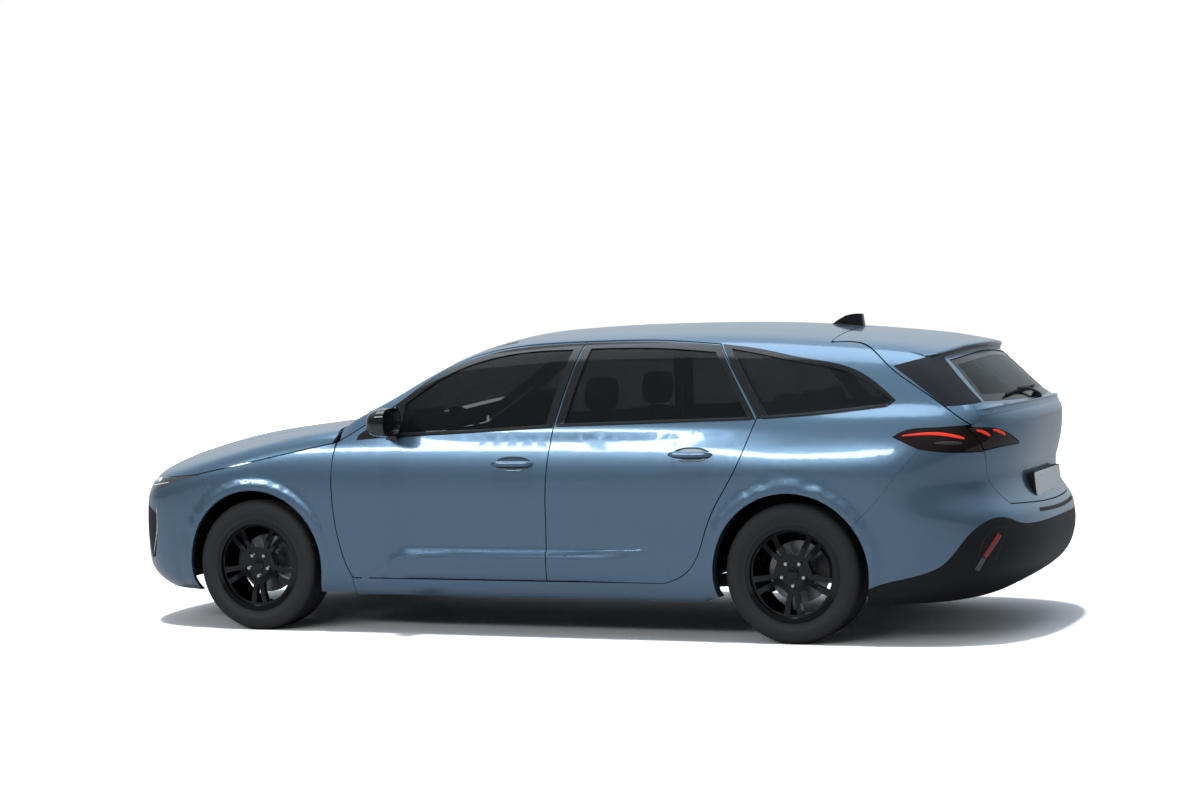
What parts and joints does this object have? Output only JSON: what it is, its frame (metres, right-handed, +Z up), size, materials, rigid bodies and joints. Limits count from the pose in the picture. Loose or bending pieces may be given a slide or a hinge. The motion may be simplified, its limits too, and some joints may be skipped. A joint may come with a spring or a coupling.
{
  "type": "station wagon",
  "caption": "Estate car with four side doors, a tailgate and a bonnet on hinges, steered front wheels, and a hollow cabin with seats and a load space.",
  "frame": {"origin": "on the road, under the middle of the overall length and width", "axes": "+X towards the nose, +Y to the car's left, +Z up"},
  "size_m": [4.6351, 2.1402, 1.4642],
  "materials": {
    "body_paint": "metallic steel blue paint under clear coat",
    "door_paint": "metallic steel blue paint under clear coat",
    "gate_paint": "metallic steel blue paint under clear coat",
    "bonnet_paint": "metallic steel blue paint under clear coat",
    "bumper_paint": "painted plastic",
    "tinted_glass": "dark tinted glass",
    "screen_glass": "lightly tinted glass",
    "black_trim": "grained black plastic",
    "gloss_black": "gloss black",
    "lamp_clear": "clear lens over a bright reflector",
    "lamp_red": "smoked red lens",
    "tyre": "black rubber",
    "alloy": "dark grey painted alloy",
    "disc": "machined iron",
    "chassis": "black primer",
    "engine_block": "cast metal",
    "liner": "black plastic",
    "interior_plastic": "dark grained plastic",
    "seat_cloth": "dark cloth"
  },
  "bodies": {
    "car_body": {"body_sides": "body_paint", "roof": "body_paint", "front_fenders": "body_paint", "fixed_glass": "screen_glass", "front_bumper": "bumper_paint", "grille": "gloss_black", "headlamps": "lamp_clear", "rear_bumper": "bumper_paint", "rear_valance": "black_trim", "tail_lamps": "lamp_red", "cowl": "black_trim", "roof_aerial": "gloss_black", "front_suspension": "chassis", "rear_axle": "chassis", "wheelhouse_liners": "liner", "floor_pan": "chassis", "powertrain": "engine_block", "dashboard": "interior_plastic", "steering_wheel": "interior_plastic", "front_seats": "seat_cloth", "rear_seat": "seat_cloth"},
    "bonnet": {"bonnet": "bonnet_paint"},
    "tailgate": {"tailgate": "gate_paint", "tailgate_glass": "tinted_glass", "tailgate_lamps": "lamp_red"},
    "front_left_door": {"door_front_left": "door_paint", "window_front_left": "tinted_glass", "mirror_left": "gloss_black"},
    "rear_left_door": {"door_rear_left": "door_paint", "window_rear_left": "tinted_glass"},
    "left_knuckle": {"knuckle_left": "chassis"},
    "front_left_wheel": {"tyre_front_left": "tyre", "rim_front_left": "alloy", "brake_disc_front_left": "disc"},
    "rear_left_wheel": {"tyre_rear_left": "tyre", "rim_rear_left": "alloy", "brake_disc_rear_left": "disc"},
    "front_right_door": {"door_front_right": "door_paint", "window_front_right": "tinted_glass", "mirror_right": "gloss_black"},
    "rear_right_door": {"door_rear_right": "door_paint", "window_rear_right": "tinted_glass"},
    "right_knuckle": {"knuckle_right": "chassis"},
    "front_right_wheel": {"tyre_front_right": "tyre", "rim_front_right": "alloy", "brake_disc_front_right": "disc"},
    "rear_right_wheel": {"tyre_rear_right": "tyre", "rim_rear_right": "alloy", "brake_disc_rear_right": "disc"}
  },
  "joints": [
    {"name": "front_left_door_hinge", "type": "hinge", "parent": "car_body", "child": "front_left_door", "pos_m": [1.014, 0.914, 0.6], "axis": [0, 0, -1], "range_deg": [0, 68]},
    {"name": "rear_left_door_hinge", "type": "hinge", "parent": "car_body", "child": "rear_left_door", "pos_m": [-0.095, 0.92, 0.6], "axis": [0, 0, -1], "range_deg": [0, 70]},
    {"name": "left_steering", "type": "hinge", "parent": "car_body", "child": "left_knuckle", "pos_m": [1.45, 0.71, 0.317], "axis": [0, 0, 1], "range_deg": [-35, 35]},
    {"name": "front_left_wheel_spin", "type": "hinge", "parent": "left_knuckle", "child": "front_left_wheel", "pos_m": [1.45, 0.78, 0.317], "axis": [0, 1, 0], "continuous": true},
    {"name": "rear_left_wheel_spin", "type": "hinge", "parent": "car_body", "child": "rear_left_wheel", "pos_m": [-1.282, 0.78, 0.317], "axis": [0, 1, 0], "continuous": true},
    {"name": "front_right_door_hinge", "type": "hinge", "parent": "car_body", "child": "front_right_door", "pos_m": [1.014, -0.914, 0.6], "axis": [0, 0, 1], "range_deg": [0, 68]},
    {"name": "rear_right_door_hinge", "type": "hinge", "parent": "car_body", "child": "rear_right_door", "pos_m": [-0.095, -0.92, 0.6], "axis": [0, 0, 1], "range_deg": [0, 70]},
    {"name": "right_steering", "type": "hinge", "parent": "car_body", "child": "right_knuckle", "pos_m": [1.45, -0.71, 0.317], "axis": [0, 0, 1], "range_deg": [-35, 35]},
    {"name": "front_right_wheel_spin", "type": "hinge", "parent": "right_knuckle", "child": "front_right_wheel", "pos_m": [1.45, -0.78, 0.317], "axis": [0, 1, 0], "continuous": true},
    {"name": "rear_right_wheel_spin", "type": "hinge", "parent": "car_body", "child": "rear_right_wheel", "pos_m": [-1.282, -0.78, 0.317], "axis": [0, 1, 0], "continuous": true},
    {"name": "bonnet_hinge", "type": "hinge", "parent": "car_body", "child": "bonnet", "pos_m": [0.97, 0, 1], "axis": [0, -1, 0], "range_deg": [0, 55]},
    {"name": "tailgate_hinge", "type": "hinge", "parent": "car_body", "child": "tailgate", "pos_m": [-1.405, 0, 1.404], "axis": [0, 1, 0], "range_deg": [0, 78]}
  ],
  "couplings": [
    {"joint": "right_steering", "follows": "left_steering", "ratio": 1}
  ]
}
